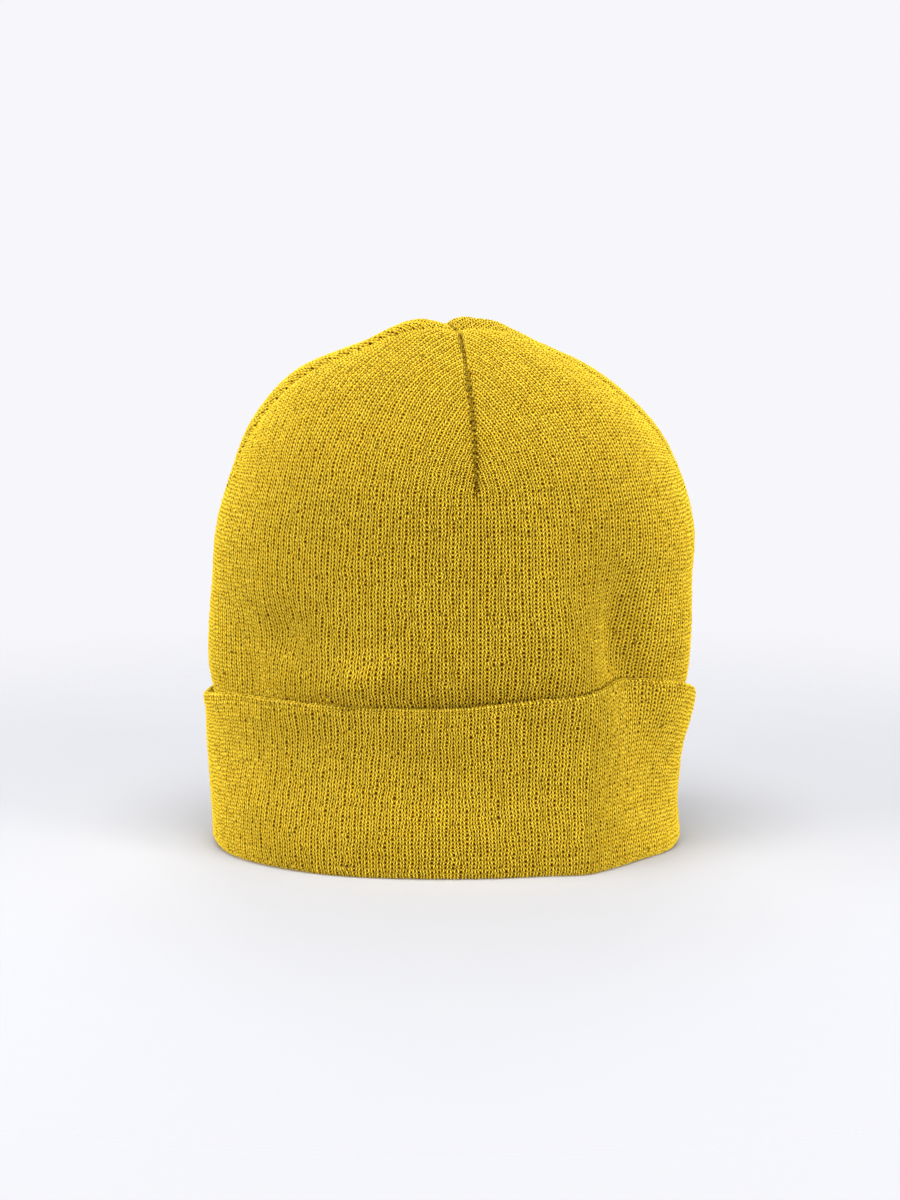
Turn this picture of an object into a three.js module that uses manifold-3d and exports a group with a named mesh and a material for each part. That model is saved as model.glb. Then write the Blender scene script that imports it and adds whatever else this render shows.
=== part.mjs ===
// Cuffed knit beanie standing on its turned-up cuff, head opening down, front dart towards -Y.
// It is one tube of fine knit pushed into itself: the outer layer is the crown shell, the inner
// layer is the lining, and the hem of both is turned up, so the cuff is four layers deep.
// Each layer is closed at the top by four darts, sewn on the wrong side.
// Lengths are millimetres, +Z is up, and the origin is the middle of the footprint.
import * as THREE from "three";
import { mergeVertices } from "three/addons/utils/BufferGeometryUtils.js";
import Module from "manifold-3d";

const { degToRad, euclideanModulo, lerp, smoothstep } = THREE.MathUtils;

// Standing size of the crown's outer face
const junctionHeight = 199.3;
const crownHalfWidth = 94;
const crownHalfDepth = 67;
const junctionRight = 2.2;
const junctionForward = 5;

// Cuff
const cuffHeight = 64.7;
const footFlat = 0.5;

// Knit layers
const knitThickness = 1.9;
const layerGap = 0.3;
const crownEase = 5.5;

// Darts and the gores that swell between them
const crownCreaseDepth = 1.8;
const backSwell = 5.5;
const frontSwell = 2.4;
const liningCreaseDepth = 0.8;
const dartDegrees = [-7, 104, 187, 275.5];
const dartNames = ["right", "back", "left", "front"];
const creaseDegrees = 2.4;
const backFullness = 0.3;
const frontFullness = 0.6;
const crestLeanShare = 1.04;

// Sewn edges of the darts and the thread tack at the top
const seamWidth = 4;
const seamThickness = 2;
const seamSetback = 0.4;
const seamClearance = 0.5;
const tackRadius = 1.2;

// Soft folds of the crown: angle and spread round the hat, height and spread up it as shares of the
// junction's height, and depth as a share of the deepest
const foldDepth = 3.4;
const foldShares = [
  { degrees: 312, spread: 7, heightShare: 0.43, tallShare: 0.12, depthShare: 0.65 },
  { degrees: 332, spread: 11, heightShare: 0.39, tallShare: 0.065, depthShare: 1 },
  { degrees: 204, spread: 9, heightShare: 0.46, tallShare: 0.07, depthShare: 0.47 },
];

// Outline of the crown, read at even steps from the hem to the dart junction
const heightShares = [0.01, 0.1, 0.181, 0.251, 0.312, 0.402, 0.513, 0.623, 0.729, 0.819, 0.905, 0.965, 0.9925, 1];
const rightShares = [0.915, 0.898, 0.914, 0.952, 0.979, 0.984, 0.985, 0.996, 0.93, 0.807, 0.596, 0.358, 0.17, 0];
const leftShares = [0.923, 0.936, 0.957, 0.972, 0.998, 1, 0.984, 0.961, 0.893, 0.801, 0.635, 0.374, 0.191, 0];
const frontShares = [0.935, 0.927, 0.933, 0.94, 0.963, 1, 1.007, 0.993, 0.94, 0.821, 0.619, 0.373, 0.179, 0];
const backShares = [0.918, 0.925, 0.933, 0.94, 0.963, 1, 1.007, 0.993, 0.933, 0.821, 0.627, 0.388, 0.194, 0];
const swellShares = [0, 0, 0, 0, 0, 0, 0, 0.06, 0.1, 0.54, 0.77, 0.54, 0.89, 0];
const dartStartShare = 0.61;
const creaseFullShare = 0.7;
const creaseEndShare = 0.9;
const seamStartShare = 0.63;
const seamEndShare = 0.955;
const leanStartShare = 0.45;
const nearTopShare = 0.988;
const easeFullShare = 0.6;

// Height of the cuff's top edge, every 30 degrees from the right side round by the back
const edgeShares = [0.93, 0.935, 0.94, 0.945, 0.94, 0.927, 0.904, 0.965, 0.99, 1, 1.07, 1.06];

// Roundness of the rings, at the hem and on the crown: 1 is an ellipse, more is squarer
const leftHemShare = 1.04;
const rightHemShare = 1.165;
const leftCrownShare = 0.925;
const rightCrownShare = 1.09;
const roundFullShare = 0.3;
const blendShare = 0.3;

// Facets
const columnShares = [0, 0.03, 0.08, 0.16, 0.26, 0.37, 0.48, 0.59, 0.7, 0.8, 0.88, 0.94, 0.97];
const crownRows = 14;
const topCrowding = 1.15;
const cuffRows = 5;
const rollSteps = 5;
const seamRows = 9;
const seamAcrossShares = [0, 0.5, 1];
const tackSides = 12;

// Places of the layers' middles, outwards from the crown shell
const layerPitch = knitThickness + layerGap;
const liningPlace = -layerPitch;
const cuffBackPlace = layerPitch;
const cuffFacePlace = 2 * layerPitch;
const hemRadius = (cuffFacePlace - liningPlace) / 2;
const foldRadius = layerPitch / 2;
const rollHeight = hemRadius + knitThickness / 2 - footFlat;

const knitYellow = { color: 0xcda62a, roughness: 0.95, metalness: 0 };
const innerYellow = { color: 0xbf9a26, roughness: 0.95, metalness: 0 };
const threadYellow = { color: 0xb08c1e, roughness: 0.85, metalness: 0 };

const wasm = await Module();
wasm.setup();

const tinyStep = 0.001;
const darts = dartDegrees.map(degToRad);
const fullTurn = 2 * Math.PI;

// A meridian of the crown as a spline of reach and height
function meridian(reachShares, reach) {
  const points = reachShares.map((share, i) => new THREE.Vector2(share * reach, heightShares[i] * junctionHeight));
  return new THREE.SplineCurve(points);
}

const rightMeridian = meridian(rightShares, crownHalfWidth);
const leftMeridian = meridian(leftShares, crownHalfWidth);
const frontMeridian = meridian(frontShares, crownHalfDepth);
const backMeridian = meridian(backShares, crownHalfDepth);
const swellCurve = new THREE.SplineCurve(swellShares.map((share, i) => new THREE.Vector2(i, share)));
const edgeCurve = new THREE.CatmullRomCurve3(
  edgeShares.map((share) => new THREE.Vector3(share, 0, 0)), true, "catmullrom", 0.5,
);

function signedPower(value, power) {
  return Math.sign(value) * Math.abs(value) ** power;
}

// Outer face of the crown before swelling, creases and folds
function plainSkin(angle, climb) {
  const across = Math.cos(angle);
  const along = Math.sin(angle);
  const toRight = smoothstep(across, -blendShare, blendShare);
  const toBack = smoothstep(along, -blendShare, blendShare);
  const right = rightMeridian.getPoint(climb);
  const reachX = lerp(leftMeridian.getPoint(climb).x, right.x, toRight);
  const reachY = lerp(frontMeridian.getPoint(climb).x, backMeridian.getPoint(climb).x, toBack);
  const toCrown = smoothstep(climb, 0, roundFullShare);
  const leftRound = lerp(leftHemShare, leftCrownShare, toCrown);
  const rightRound = lerp(rightHemShare, rightCrownShare, toCrown);
  const power = 1 / lerp(leftRound, rightRound, toRight);
  const lean = smoothstep(climb, leanStartShare, 1);
  return new THREE.Vector3(
    reachX * signedPower(across, power) + junctionRight * lean,
    reachY * signedPower(along, power) - junctionForward * lean,
    right.y,
  );
}

// Middle of the crown's knit with the ways out of it and up it
function knitFrame(angle, climb) {
  const near = Math.min(climb, nearTopShare);
  const round = plainSkin(angle + tinyStep, near).sub(plainSkin(angle - tinyStep, near));
  const up = plainSkin(angle, near + tinyStep).sub(plainSkin(angle, near - tinyStep)).normalize();
  const out = climb === 1 ? new THREE.Vector3(0, 0, 1) : round.cross(up).normalize();
  const point = plainSkin(angle, climb).addScaledVector(out, -knitThickness / 2);
  return { point, out, up };
}

// Which gore an angle lies in, and how far across it from 0 to 1
function goreAt(angle) {
  const turned = euclideanModulo(angle - darts[0], fullTurn) + darts[0];
  const index = darts.findLastIndex((dart) => turned >= dart);
  const next = index + 1 < darts.length ? darts[index + 1] : darts[0] + fullTurn;
  return { index, share: (turned - darts[index]) / (next - darts[index]), span: next - darts[index] };
}

// How far the gores stand out between their darts; the first leans towards the back dart
function swellAt(angle, climb) {
  const { index, share } = goreAt(angle);
  const isBack = index < 2;
  const round = Math.max(Math.sin(Math.PI * share), 0) ** (isBack ? backFullness : frontFullness);
  const crest = index === 0 ? 1 + crestLeanShare * (share - 0.5) : 1;
  return (isBack ? backSwell : frontSwell) * round * crest * Math.max(swellCurve.getPoint(climb).y, 0);
}

// How far a dart's seam pulls its crease towards the other layer, as a share of its depth
function creaseShare(angle, climb) {
  const { share, span } = goreAt(angle);
  const away = (Math.min(share, 1 - share) * span) / degToRad(creaseDegrees);
  const running = smoothstep(climb, dartStartShare, creaseFullShare) * (1 - smoothstep(climb, creaseEndShare, 1));
  return running * Math.exp(-away * away);
}

// How far the soft folds sink at a place on the crown
function foldAt(angle, height) {
  let sunk = 0;
  for (const fold of foldShares) {
    const turn = euclideanModulo(angle - degToRad(fold.degrees) + Math.PI, fullTurn) - Math.PI;
    const aside = turn / degToRad(fold.spread);
    const tall = fold.tallShare * junctionHeight;
    const above = (height - fold.heightShare * junctionHeight) / tall;
    const clear = smoothstep(height, edgeHeight(angle), edgeHeight(angle) + tall / 2);
    sunk += foldDepth * fold.depthShare * clear * Math.exp(-aside * aside - above * above);
  }
  return sunk;
}

// Height of the cuff's top edge at an angle
function edgeHeight(angle) {
  return cuffHeight * edgeCurve.getPoint(euclideanModulo(angle, fullTurn) / fullTurn).x;
}

// Climb at which the crown reaches a height
function climbTo(height) {
  let low = 0;
  let high = 1;
  for (let i = 0; i < 30; i++) {
    const middle = (low + high) / 2;
    if (rightMeridian.getPoint(middle).y < height) low = middle;
    else high = middle;
  }
  return (low + high) / 2;
}

const rollClimb = climbTo(rollHeight);
const looseClimb = climbTo(cuffHeight);

// Climb of the middle of the cuff's top fold at an angle
function foldClimb(angle) {
  return climbTo(edgeHeight(angle) - foldRadius - knitThickness / 2);
}

// Climbs of the rows that all layers share inside the cuff
function cuffClimbs(angle) {
  return Array.from({ length: cuffRows + 1 }, (_, i) => lerp(rollClimb, foldClimb(angle), i / cuffRows));
}

// Climbs of the rows that the crown and the lining share above the cuff
function crownClimbs(angle) {
  return Array.from({ length: crownRows }, (_, i) => {
    const left = 1 - (i + 1) / crownRows;
    return lerp(1, foldClimb(angle), left ** topCrowding);
  });
}

// Two faces of a layer at one place: offset outwards, with a turn in the plane of out and up
function facesAt(frame, offset, lift, turn) {
  const middle = frame.point.clone().addScaledVector(frame.out, offset).addScaledVector(frame.up, lift);
  const normal = frame.out.clone().multiplyScalar(Math.cos(turn)).addScaledVector(frame.up, Math.sin(turn));
  return [
    middle.clone().addScaledVector(normal, knitThickness / 2),
    middle.clone().addScaledVector(normal, -knitThickness / 2),
  ];
}

// A half roll of knit round a centre, from one turn to another
function rollFaces(frame, centre, radius, from, to) {
  return Array.from({ length: rollSteps + 1 }, (_, i) => {
    const turn = lerp(from, to, i / rollSteps);
    return facesAt(frame, centre + radius * Math.cos(turn), radius * Math.sin(turn), turn);
  });
}

// Frame at the foot of the hat, held upright so that the hem rolls straight down
function hemFrame(angle) {
  const frame = knitFrame(angle, rollClimb);
  frame.out.setZ(0).normalize();
  frame.up.set(0, 0, 1);
  frame.point.setZ(rollHeight);
  return frame;
}

// Offset of the crown's knit from its plain outline
function crownOffset(angle, climb, height) {
  return swellAt(angle, climb) - crownCreaseDepth * creaseShare(angle, climb) - foldAt(angle, height);
}

// The outer layer, from the small roll at its hem to the dart junction
function crownFaces(angle) {
  const hem = rollFaces(hemFrame(angle), foldRadius, foldRadius, 0, -Math.PI);
  const wall = [...cuffClimbs(angle).slice(1), ...crownClimbs(angle)].map((climb) => {
    const frame = knitFrame(angle, climb);
    return facesAt(frame, crownOffset(angle, climb, frame.point.z), 0, 0);
  });
  return [...hem.map((pair) => pair.toReversed()), ...wall];
}

// Offset of the lining from the crown's plain outline: close at the cuff, loose above it
function liningOffset(angle, climb, height) {
  const loose = smoothstep(climb, looseClimb, easeFullShare);
  const crease = liningCreaseDepth * creaseShare(angle, climb);
  return liningPlace - (crownEase - layerGap) * loose + crease - foldAt(angle, height);
}

// The inner layer, from just above the hem roll to its own dart junction
function liningFaces(angle) {
  const foot = facesAt(hemFrame(angle), liningPlace, layerGap, 0);
  const wall = [...cuffClimbs(angle).slice(1), ...crownClimbs(angle)].map((climb) => {
    const frame = knitFrame(angle, climb);
    return facesAt(frame, liningOffset(angle, climb, frame.point.z), 0, 0);
  });
  return [foot, ...wall];
}

// The turned-up face: hem roll, outer face and the fold along its top edge
function cuffFaceFaces(angle) {
  const hem = rollFaces(hemFrame(angle), (liningPlace + cuffFacePlace) / 2, hemRadius, -Math.PI, 0);
  const wall = cuffClimbs(angle).slice(1, -1).map((climb) => facesAt(knitFrame(angle, climb), cuffFacePlace, 0, 0));
  const topFrame = knitFrame(angle, foldClimb(angle));
  const edge = rollFaces(topFrame, (cuffBackPlace + cuffFacePlace) / 2, foldRadius, 0, Math.PI);
  return [...hem, ...wall, ...edge];
}

// The turned-up layer behind the face, between the crown's hem roll and the top fold
function cuffBackFaces(angle) {
  const foot = facesAt(hemFrame(angle), cuffBackPlace, layerGap, 0);
  const wall = cuffClimbs(angle).slice(1, -1).map((climb) => facesAt(knitFrame(angle, climb), cuffBackPlace, 0, 0));
  const top = facesAt(knitFrame(angle, foldClimb(angle)), cuffBackPlace, -layerGap, 0);
  return [foot, ...wall, top];
}

// Angles of the columns: close together beside each dart
const columnAngles = darts.flatMap((dart, index) => {
  const next = index + 1 < darts.length ? darts[index + 1] : darts[0] + fullTurn;
  return columnShares.map((share) => lerp(dart, next, share));
});

// Closed geometry from points and triangles
function solidGeometry(points, triangles) {
  const geometry = new THREE.BufferGeometry();
  geometry.setAttribute("position", new THREE.Float32BufferAttribute(points.flatMap((p) => p.toArray()), 3));
  geometry.setIndex(triangles.flat());
  return geometry;
}

function turnedOver(triangles) {
  return triangles.map(([a, b, c]) => [a, c, b]);
}

// Two triangles for each cell between neighbouring rings of points
function ringTriangles(rings) {
  const triangles = [];
  for (let i = 0; i + 1 < rings.length; i++) {
    const [low, high] = [rings[i], rings[i + 1]];
    for (let j = 0; j < low.length; j++) {
      const k = (j + 1) % low.length;
      triangles.push([low[j], low[k], high[k]], [low[j], high[k], high[j]]);
    }
  }
  return triangles;
}

// A fan from a ring to one point above it
function fanTriangles(ring, peak) {
  return ring.map((corner, j) => [corner, ring[(j + 1) % ring.length], peak]);
}

// A layer of knit as a closed solid from its two faces; a domed layer meets in a point at the top
function layerSolid(facesOf, domed) {
  const columns = columnAngles.map((angle) => facesOf(angle));
  const rowCount = domed ? columns[0].length - 1 : columns[0].length;
  const points = [];
  const ringsOn = (side) => Array.from({ length: rowCount }, (_, row) => (
    columns.map((column) => points.push(column[row][side]) - 1)
  ));
  const outer = ringsOn(0);
  const inner = ringsOn(1);
  const triangles = [
    ...ringTriangles(outer),
    ...turnedOver(ringTriangles(inner)),
    ...ringTriangles([inner[0], outer[0]]),
  ];
  if (domed) {
    const [outerPeak, innerPeak] = columns[0].at(-1).map((peak) => points.push(peak) - 1);
    triangles.push(...fanTriangles(outer.at(-1), outerPeak));
    triangles.push(...turnedOver(fanTriangles(inner.at(-1), innerPeak)));
  } else {
    triangles.push(...ringTriangles([outer.at(-1), inner.at(-1)]));
  }
  return solidGeometry(points, triangles);
}

function toManifold(geometry) {
  const bare = new THREE.BufferGeometry();
  bare.setAttribute("position", geometry.getAttribute("position"));
  bare.setIndex(geometry.getIndex());
  const merged = mergeVertices(bare);
  return new wasm.Manifold(new wasm.Mesh({
    numProp: 3,
    vertProperties: new Float32Array(merged.getAttribute("position").array),
    triVerts: new Uint32Array(merged.getIndex().array),
  }));
}

function fromManifold(solid) {
  const mesh = solid.getMesh();
  const geometry = new THREE.BufferGeometry();
  geometry.setAttribute("position", new THREE.Float32BufferAttribute(mesh.vertProperties, 3));
  geometry.setIndex(Array.from(mesh.triVerts));
  return geometry;
}

// Cuts a layer flat where it stands on the ground
function cutFoot(geometry) {
  const reach = 4 * crownHalfWidth;
  const ground = new THREE.BoxGeometry(reach, reach, junctionHeight);
  ground.translate(0, 0, -junctionHeight / 2);
  return fromManifold(toManifold(geometry).subtract(toManifold(ground)));
}

// Millimetres round the crown for each radian at a dart
function stretchAt(dart, climb) {
  return plainSkin(dart + tinyStep, climb).distanceTo(plainSkin(dart - tinyStep, climb)) / (2 * tinyStep);
}

// The sewn edge of a dart: a flat strip beside the seam, lying against the wrong side of its layer
function seamSolid(dart, side, wrongSide, depthSign) {
  const points = [];
  const rings = [];
  for (let i = 0; i <= seamRows; i++) {
    const climb = lerp(seamStartShare, seamEndShare, i / seamRows);
    const corner = (share, depth) => {
      const angle = dart + (side * (seamSetback + share * seamWidth)) / stretchAt(dart, climb);
      const { point, out } = knitFrame(angle, climb);
      const offset = wrongSide(dart, climb) + depthSign * (seamClearance + depth);
      return points.push(point.addScaledVector(out, offset)) - 1;
    };
    const near = seamAcrossShares.map((share) => corner(share, 0));
    const far = seamAcrossShares.toReversed().map((share) => corner(share, seamThickness));
    rings.push([...near, ...far]);
  }
  const capOf = (ring) => ring.slice(2).map((corner, i) => [ring[0], ring[i + 1], corner]);
  const triangles = [...ringTriangles(rings), ...turnedOver(capOf(rings[0])), ...capOf(rings.at(-1))];
  return solidGeometry(points, side * depthSign > 0 ? turnedOver(triangles) : triangles);
}

// Offset of the crown's wrong side at a place, and of the lining's
function crownWrongSide(angle, climb) {
  return crownOffset(angle, climb, knitFrame(angle, climb).point.z) - knitThickness / 2;
}

function liningWrongSide(angle, climb) {
  return liningOffset(angle, climb, knitFrame(angle, climb).point.z) + knitThickness / 2;
}

// Thread tack that holds the two tops together
function tackSolid() {
  const junction = knitFrame(darts[0], 1).point;
  const top = crownWrongSide(darts[0], 1) - layerGap;
  const bottom = liningWrongSide(darts[0], 1) + layerGap;
  const tack = new THREE.CylinderGeometry(tackRadius, tackRadius, top - bottom, tackSides);
  tack.rotateX(Math.PI / 2);
  tack.translate(junction.x, junction.y, junction.z + (top + bottom) / 2);
  return tack;
}

const hat = new THREE.Group();

function addPiece(name, geometry, look) {
  const mesh = new THREE.Mesh(geometry, new THREE.MeshStandardMaterial(look));
  mesh.name = name;
  hat.add(mesh);
}

addPiece("crown_shell", layerSolid(crownFaces, true), knitYellow);
addPiece("cuff_face", cutFoot(layerSolid(cuffFaceFaces, false)), knitYellow);
addPiece("cuff_back", layerSolid(cuffBackFaces, false), innerYellow);
addPiece("lining", layerSolid(liningFaces, true), innerYellow);
darts.forEach((dart, index) => {
  addPiece(`shell_seam_${dartNames[index]}`, seamSolid(dart, 1, crownWrongSide, -1), threadYellow);
  addPiece(`lining_seam_${dartNames[index]}`, seamSolid(dart, -1, liningWrongSide, 1), threadYellow);
});
addPiece("crown_tack", tackSolid(), threadYellow);

// The footprint's middle goes over the origin
const middle = new THREE.Box3().setFromObject(hat).getCenter(new THREE.Vector3());
hat.position.set(-middle.x, -middle.y, 0);

const beanie = new THREE.Group();
beanie.add(hat);

export default beanie;
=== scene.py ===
# Looks of the knit beanie: four knitted gores, the turned-up cuff, the lining and the sewn darts.
import bpy
import math
import numpy as np
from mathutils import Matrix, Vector


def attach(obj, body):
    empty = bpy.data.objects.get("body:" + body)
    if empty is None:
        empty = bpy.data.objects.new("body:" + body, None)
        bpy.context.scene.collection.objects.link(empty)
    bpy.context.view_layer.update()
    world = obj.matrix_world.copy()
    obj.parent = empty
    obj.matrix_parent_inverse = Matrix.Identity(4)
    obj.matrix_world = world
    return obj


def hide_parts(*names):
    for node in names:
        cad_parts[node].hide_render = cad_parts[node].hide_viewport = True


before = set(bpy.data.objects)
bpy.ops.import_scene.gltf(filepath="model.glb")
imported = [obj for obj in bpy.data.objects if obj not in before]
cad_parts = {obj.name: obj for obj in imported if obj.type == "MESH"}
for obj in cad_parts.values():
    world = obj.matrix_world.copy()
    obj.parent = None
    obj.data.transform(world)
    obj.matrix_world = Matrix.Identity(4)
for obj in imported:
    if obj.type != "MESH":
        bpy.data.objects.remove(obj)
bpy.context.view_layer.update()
millimetre = 0.001
rng = np.random.default_rng(7)

# The hat's form in millimetres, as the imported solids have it
# Climb goes from 0 at the rim to 1 at the junction, and angles turn from the hat's right side to its back
form = {
    "junctionHeight": 199.3, "halfWidth": 94, "halfDepth": 67, "junctionRight": 2.2, "junctionForward": 5,
    "cuffHeight": 64.7, "footFlat": 0.5, "thickness": 1.9, "layerGap": 0.3, "crownEase": 5.5,
    "creaseDepth": 1.8, "backSwell": 5.5, "frontSwell": 2.4, "liningCrease": 0.8,
    "dartDegrees": [-7, 104, 187, 275.5], "creaseDegrees": 2.4,
    "backFullness": 0.3, "frontFullness": 0.6, "crestLean": 1.04,
    "dartStart": 0.61, "creaseFull": 0.7, "creaseEnd": 0.9,
    "leanStart": 0.45, "nearTop": 0.988, "easeFull": 0.6,
    "leftHem": 1.04, "rightHem": 1.165, "leftCrown": 0.925, "rightCrown": 1.09,
    "roundFull": 0.3, "blend": 0.3, "footprintShift": (0.665, 0.252, 0),
}
outlines = {
    "height": [0.01, 0.1, 0.181, 0.251, 0.312, 0.402, 0.513, 0.623, 0.729, 0.819, 0.905, 0.965, 0.9925, 1],
    "right": [0.915, 0.898, 0.914, 0.952, 0.979, 0.984, 0.985, 0.996, 0.93, 0.807, 0.596, 0.358, 0.17, 0],
    "left": [0.923, 0.936, 0.957, 0.972, 0.998, 1, 0.984, 0.961, 0.893, 0.801, 0.635, 0.374, 0.191, 0],
    "front": [0.935, 0.927, 0.933, 0.94, 0.963, 1, 1.007, 0.993, 0.94, 0.821, 0.619, 0.373, 0.179, 0],
    "back": [0.918, 0.925, 0.933, 0.94, 0.963, 1, 1.007, 0.993, 0.933, 0.821, 0.627, 0.388, 0.194, 0],
    "swell": [0, 0, 0, 0, 0, 0, 0, 0.06, 0.1, 0.54, 0.77, 0.54, 0.89, 0],
}
edgeShares = [0.93, 0.935, 0.94, 0.945, 0.94, 0.927, 0.904, 0.965, 0.99, 1, 1.07, 1.06]
folds = [
    {"degrees": 312, "spread": 7, "height": 85.7, "tall": 23.9, "depth": 2.2},
    {"degrees": 204, "spread": 9, "height": 91.7, "tall": 14, "depth": 1.6},
]

# How the cloth drapes in every layer: a lift, or below zero a dent
# Its middle may lean, by degrees for each millimetre up
drapes = [
    {"degrees": 292, "height": 94, "spread": 8.5, "tall": 34, "lift": 6.5, "lean": -0.1},
    {"degrees": 315.5, "height": 82, "spread": 9, "tall": 30, "lift": -10, "lean": -0.1},
    {"degrees": 340, "height": 88, "spread": 12, "tall": 34, "lift": 3.6},
    {"degrees": 270, "height": 149, "spread": 55, "tall": 21, "lift": 3.4},
    {"degrees": 248, "height": 74, "spread": 9, "tall": 8, "lift": 4.8, "lean": 0.6},
    {"degrees": 211, "height": 78, "spread": 12, "tall": 20, "lift": -6.2},
    {"degrees": 225, "height": 88, "spread": 8, "tall": 10, "lift": -5.4},
    {"degrees": 300, "height": 28, "spread": 7.5, "tall": 40, "lift": 4.8},
    {"degrees": 328, "height": 34, "spread": 14, "tall": 42, "lift": -5},
    {"degrees": 212, "height": 40, "spread": 20, "tall": 13, "lift": -2.2},
    {"degrees": 240, "height": 9, "spread": 55, "tall": 23, "lift": 4.6},
    {"degrees": 268, "height": 16, "spread": 45, "tall": 13, "lift": 1.6},
]
# The crown and the lining also tuck in behind the cuff's edge
tuckIn = [
    {"degrees": 276, "height": 61, "spread": 24, "tall": 10, "lift": -2},
    {"degrees": 270, "height": 58, "spread": 900, "tall": 9, "lift": -1.4},
    {"degrees": 246, "height": 62, "spread": 9, "tall": 10, "lift": 2.4},
    {"degrees": 325, "height": 72, "spread": 12, "tall": 9, "lift": -2},
    {"degrees": 213, "height": 66, "spread": 12, "tall": 9, "lift": -2},
]

darts = np.radians(form["dartDegrees"])
spans = np.diff(np.append(darts, darts[0] + 2 * np.pi))
pitch = form["thickness"] + form["layerGap"]
halfKnit = form["thickness"] / 2
liningPlace, cuffBackPlace, cuffFacePlace = -pitch, pitch, 2 * pitch
hemRadius, foldRadius = 1.5 * pitch, 0.5 * pitch
rollHeight = hemRadius + halfKnit - form["footFlat"]

# One stitch in millimetres: wales run up the hat, courses run round it, and a V's arms rise by slant courses
stitch = {
    "wale": 2.375, "course": 1.55, "slant": 1.5, "relief": 1, "tall": (0.82, 1.12),
    "armLow": 0.12, "armPower": 0.8, "archMiddle": 0.52, "archReach": 0.62,
    "wander": 0.1, "jitter": 0.27, "jitterRows": 0.8,
}


# Catmull-Rom spline through evenly spaced values, with its ends held
def splineAt(values, place):
    values = np.asarray(values, float)
    last = len(values) - 1
    scaled = np.clip(place, 0, 1) * last
    i = np.minimum(np.floor(scaled).astype(int), last - 1)
    t = scaled - i
    before, low, high, after = (values[np.clip(i + k, 0, last)] for k in (-1, 0, 1, 2))
    return splineStep(before, low, high, after, t)


# Catmull-Rom spline round a closed loop of evenly spaced values
def loopSplineAt(values, turn):
    values = np.asarray(values, float)
    scaled = np.mod(turn, 1) * len(values)
    i = np.floor(scaled).astype(int)
    before, low, high, after = (values[(i + k) % len(values)] for k in (-1, 0, 1, 2))
    return splineStep(before, low, high, after, scaled - i)


# The cubic between low and high, leaving at half the chord from before and arriving at half of that to after
def splineStep(before, low, high, after, t):
    leave, arrive = (high - before) / 2, (after - low) / 2
    cubic = 2 * low - 2 * high + leave + arrive
    square = 3 * high - 3 * low - 2 * leave - arrive
    return ((cubic * t + square) * t + leave) * t + low


# 0 below low, 1 above high, 3t^2 - 2t^3 between them
def ease(value, low, high):
    t = np.clip((value - low) / (high - low), 0, 1)
    return t * t * (3 - 2 * t)


# The first value plus a share of the way to the second
def mix(first, second, share):
    return first + (second - first) * share


# Vectors divided by their length
def unit(vectors):
    return vectors / np.maximum(np.linalg.norm(vectors, axis=-1, keepdims=True), 1e-12)


climbSteps = np.linspace(0, 1, 4001)
tables = {name: splineAt(values, climbSteps) for name, values in outlines.items()}


# An outline's value at a climb
def tableAt(name, climb):
    return np.interp(climb, climbSteps, tables[name])


# Outer face of the crown before swelling: superellipse rings whose reach and height follow the outlines
def plainSkin(angle, climb):
    across, along = np.cos(angle), np.sin(angle)
    toRight = ease(across, -form["blend"], form["blend"])
    toBack = ease(along, -form["blend"], form["blend"])
    reachX = form["halfWidth"] * mix(tableAt("left", climb), tableAt("right", climb), toRight)
    reachY = form["halfDepth"] * mix(tableAt("front", climb), tableAt("back", climb), toBack)
    toCrown = ease(climb, 0, form["roundFull"])
    leftRound = mix(form["leftHem"], form["leftCrown"], toCrown)
    rightRound = mix(form["rightHem"], form["rightCrown"], toCrown)
    power = 1 / mix(leftRound, rightRound, toRight)
    lean = ease(climb, form["leanStart"], 1)
    x = reachX * np.sign(across) * np.abs(across) ** power + form["junctionRight"] * lean
    y = reachY * np.sign(along) * np.abs(along) ** power - form["junctionForward"] * lean
    z = form["junctionHeight"] * tableAt("height", climb) + 0 * x
    return np.stack([x, y, z], -1)


# Middle of the crown's knit, the way out of it and the way up it, by central differences
def knitFrame(angle, climb):
    angle, climb = np.broadcast_arrays(angle, climb)
    near = np.minimum(climb, form["nearTop"])
    step = 0.001
    up = unit(plainSkin(angle, near + step) - plainSkin(angle, near - step))
    out = unit(np.cross(plainSkin(angle + step, near) - plainSkin(angle - step, near), up))
    out = np.where((climb >= 1)[..., None], [0, 0, 1], out)
    return plainSkin(angle, climb) - out * halfKnit, out, up


# The climb at a height in millimetres
def climbTo(height):
    return np.interp(height, form["junctionHeight"] * tables["height"], climbSteps)


# Height of the cuff's edge: a loop spline of shares of its height
def edgeHeight(angle):
    return form["cuffHeight"] * loopSplineAt(edgeShares, np.mod(angle, 2 * np.pi) / (2 * np.pi))


# Which gore an angle is in, and its share of the way across
def goreAt(angle):
    turned = np.mod(angle - darts[0], 2 * np.pi) + darts[0]
    index = np.clip(np.searchsorted(darts, turned, side="right") - 1, 0, len(darts) - 1)
    return index, (turned - darts[index]) / spans[index]


# A gore stands out by its swell times sin(pi share) to the power of its fullness, the first more at its end
def swellAt(angle, climb):
    index, share = goreAt(angle)
    isBack = index < 2
    fullness = np.where(isBack, form["backFullness"], form["frontFullness"])
    swell = np.where(isBack, form["backSwell"], form["frontSwell"])
    crest = np.where(index == 0, 1 + form["crestLean"] * (share - 0.5), 1)
    across = swell * crest * np.maximum(np.sin(np.pi * share), 0) ** fullness
    return across * np.maximum(tableAt("swell", climb), 0)


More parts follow.
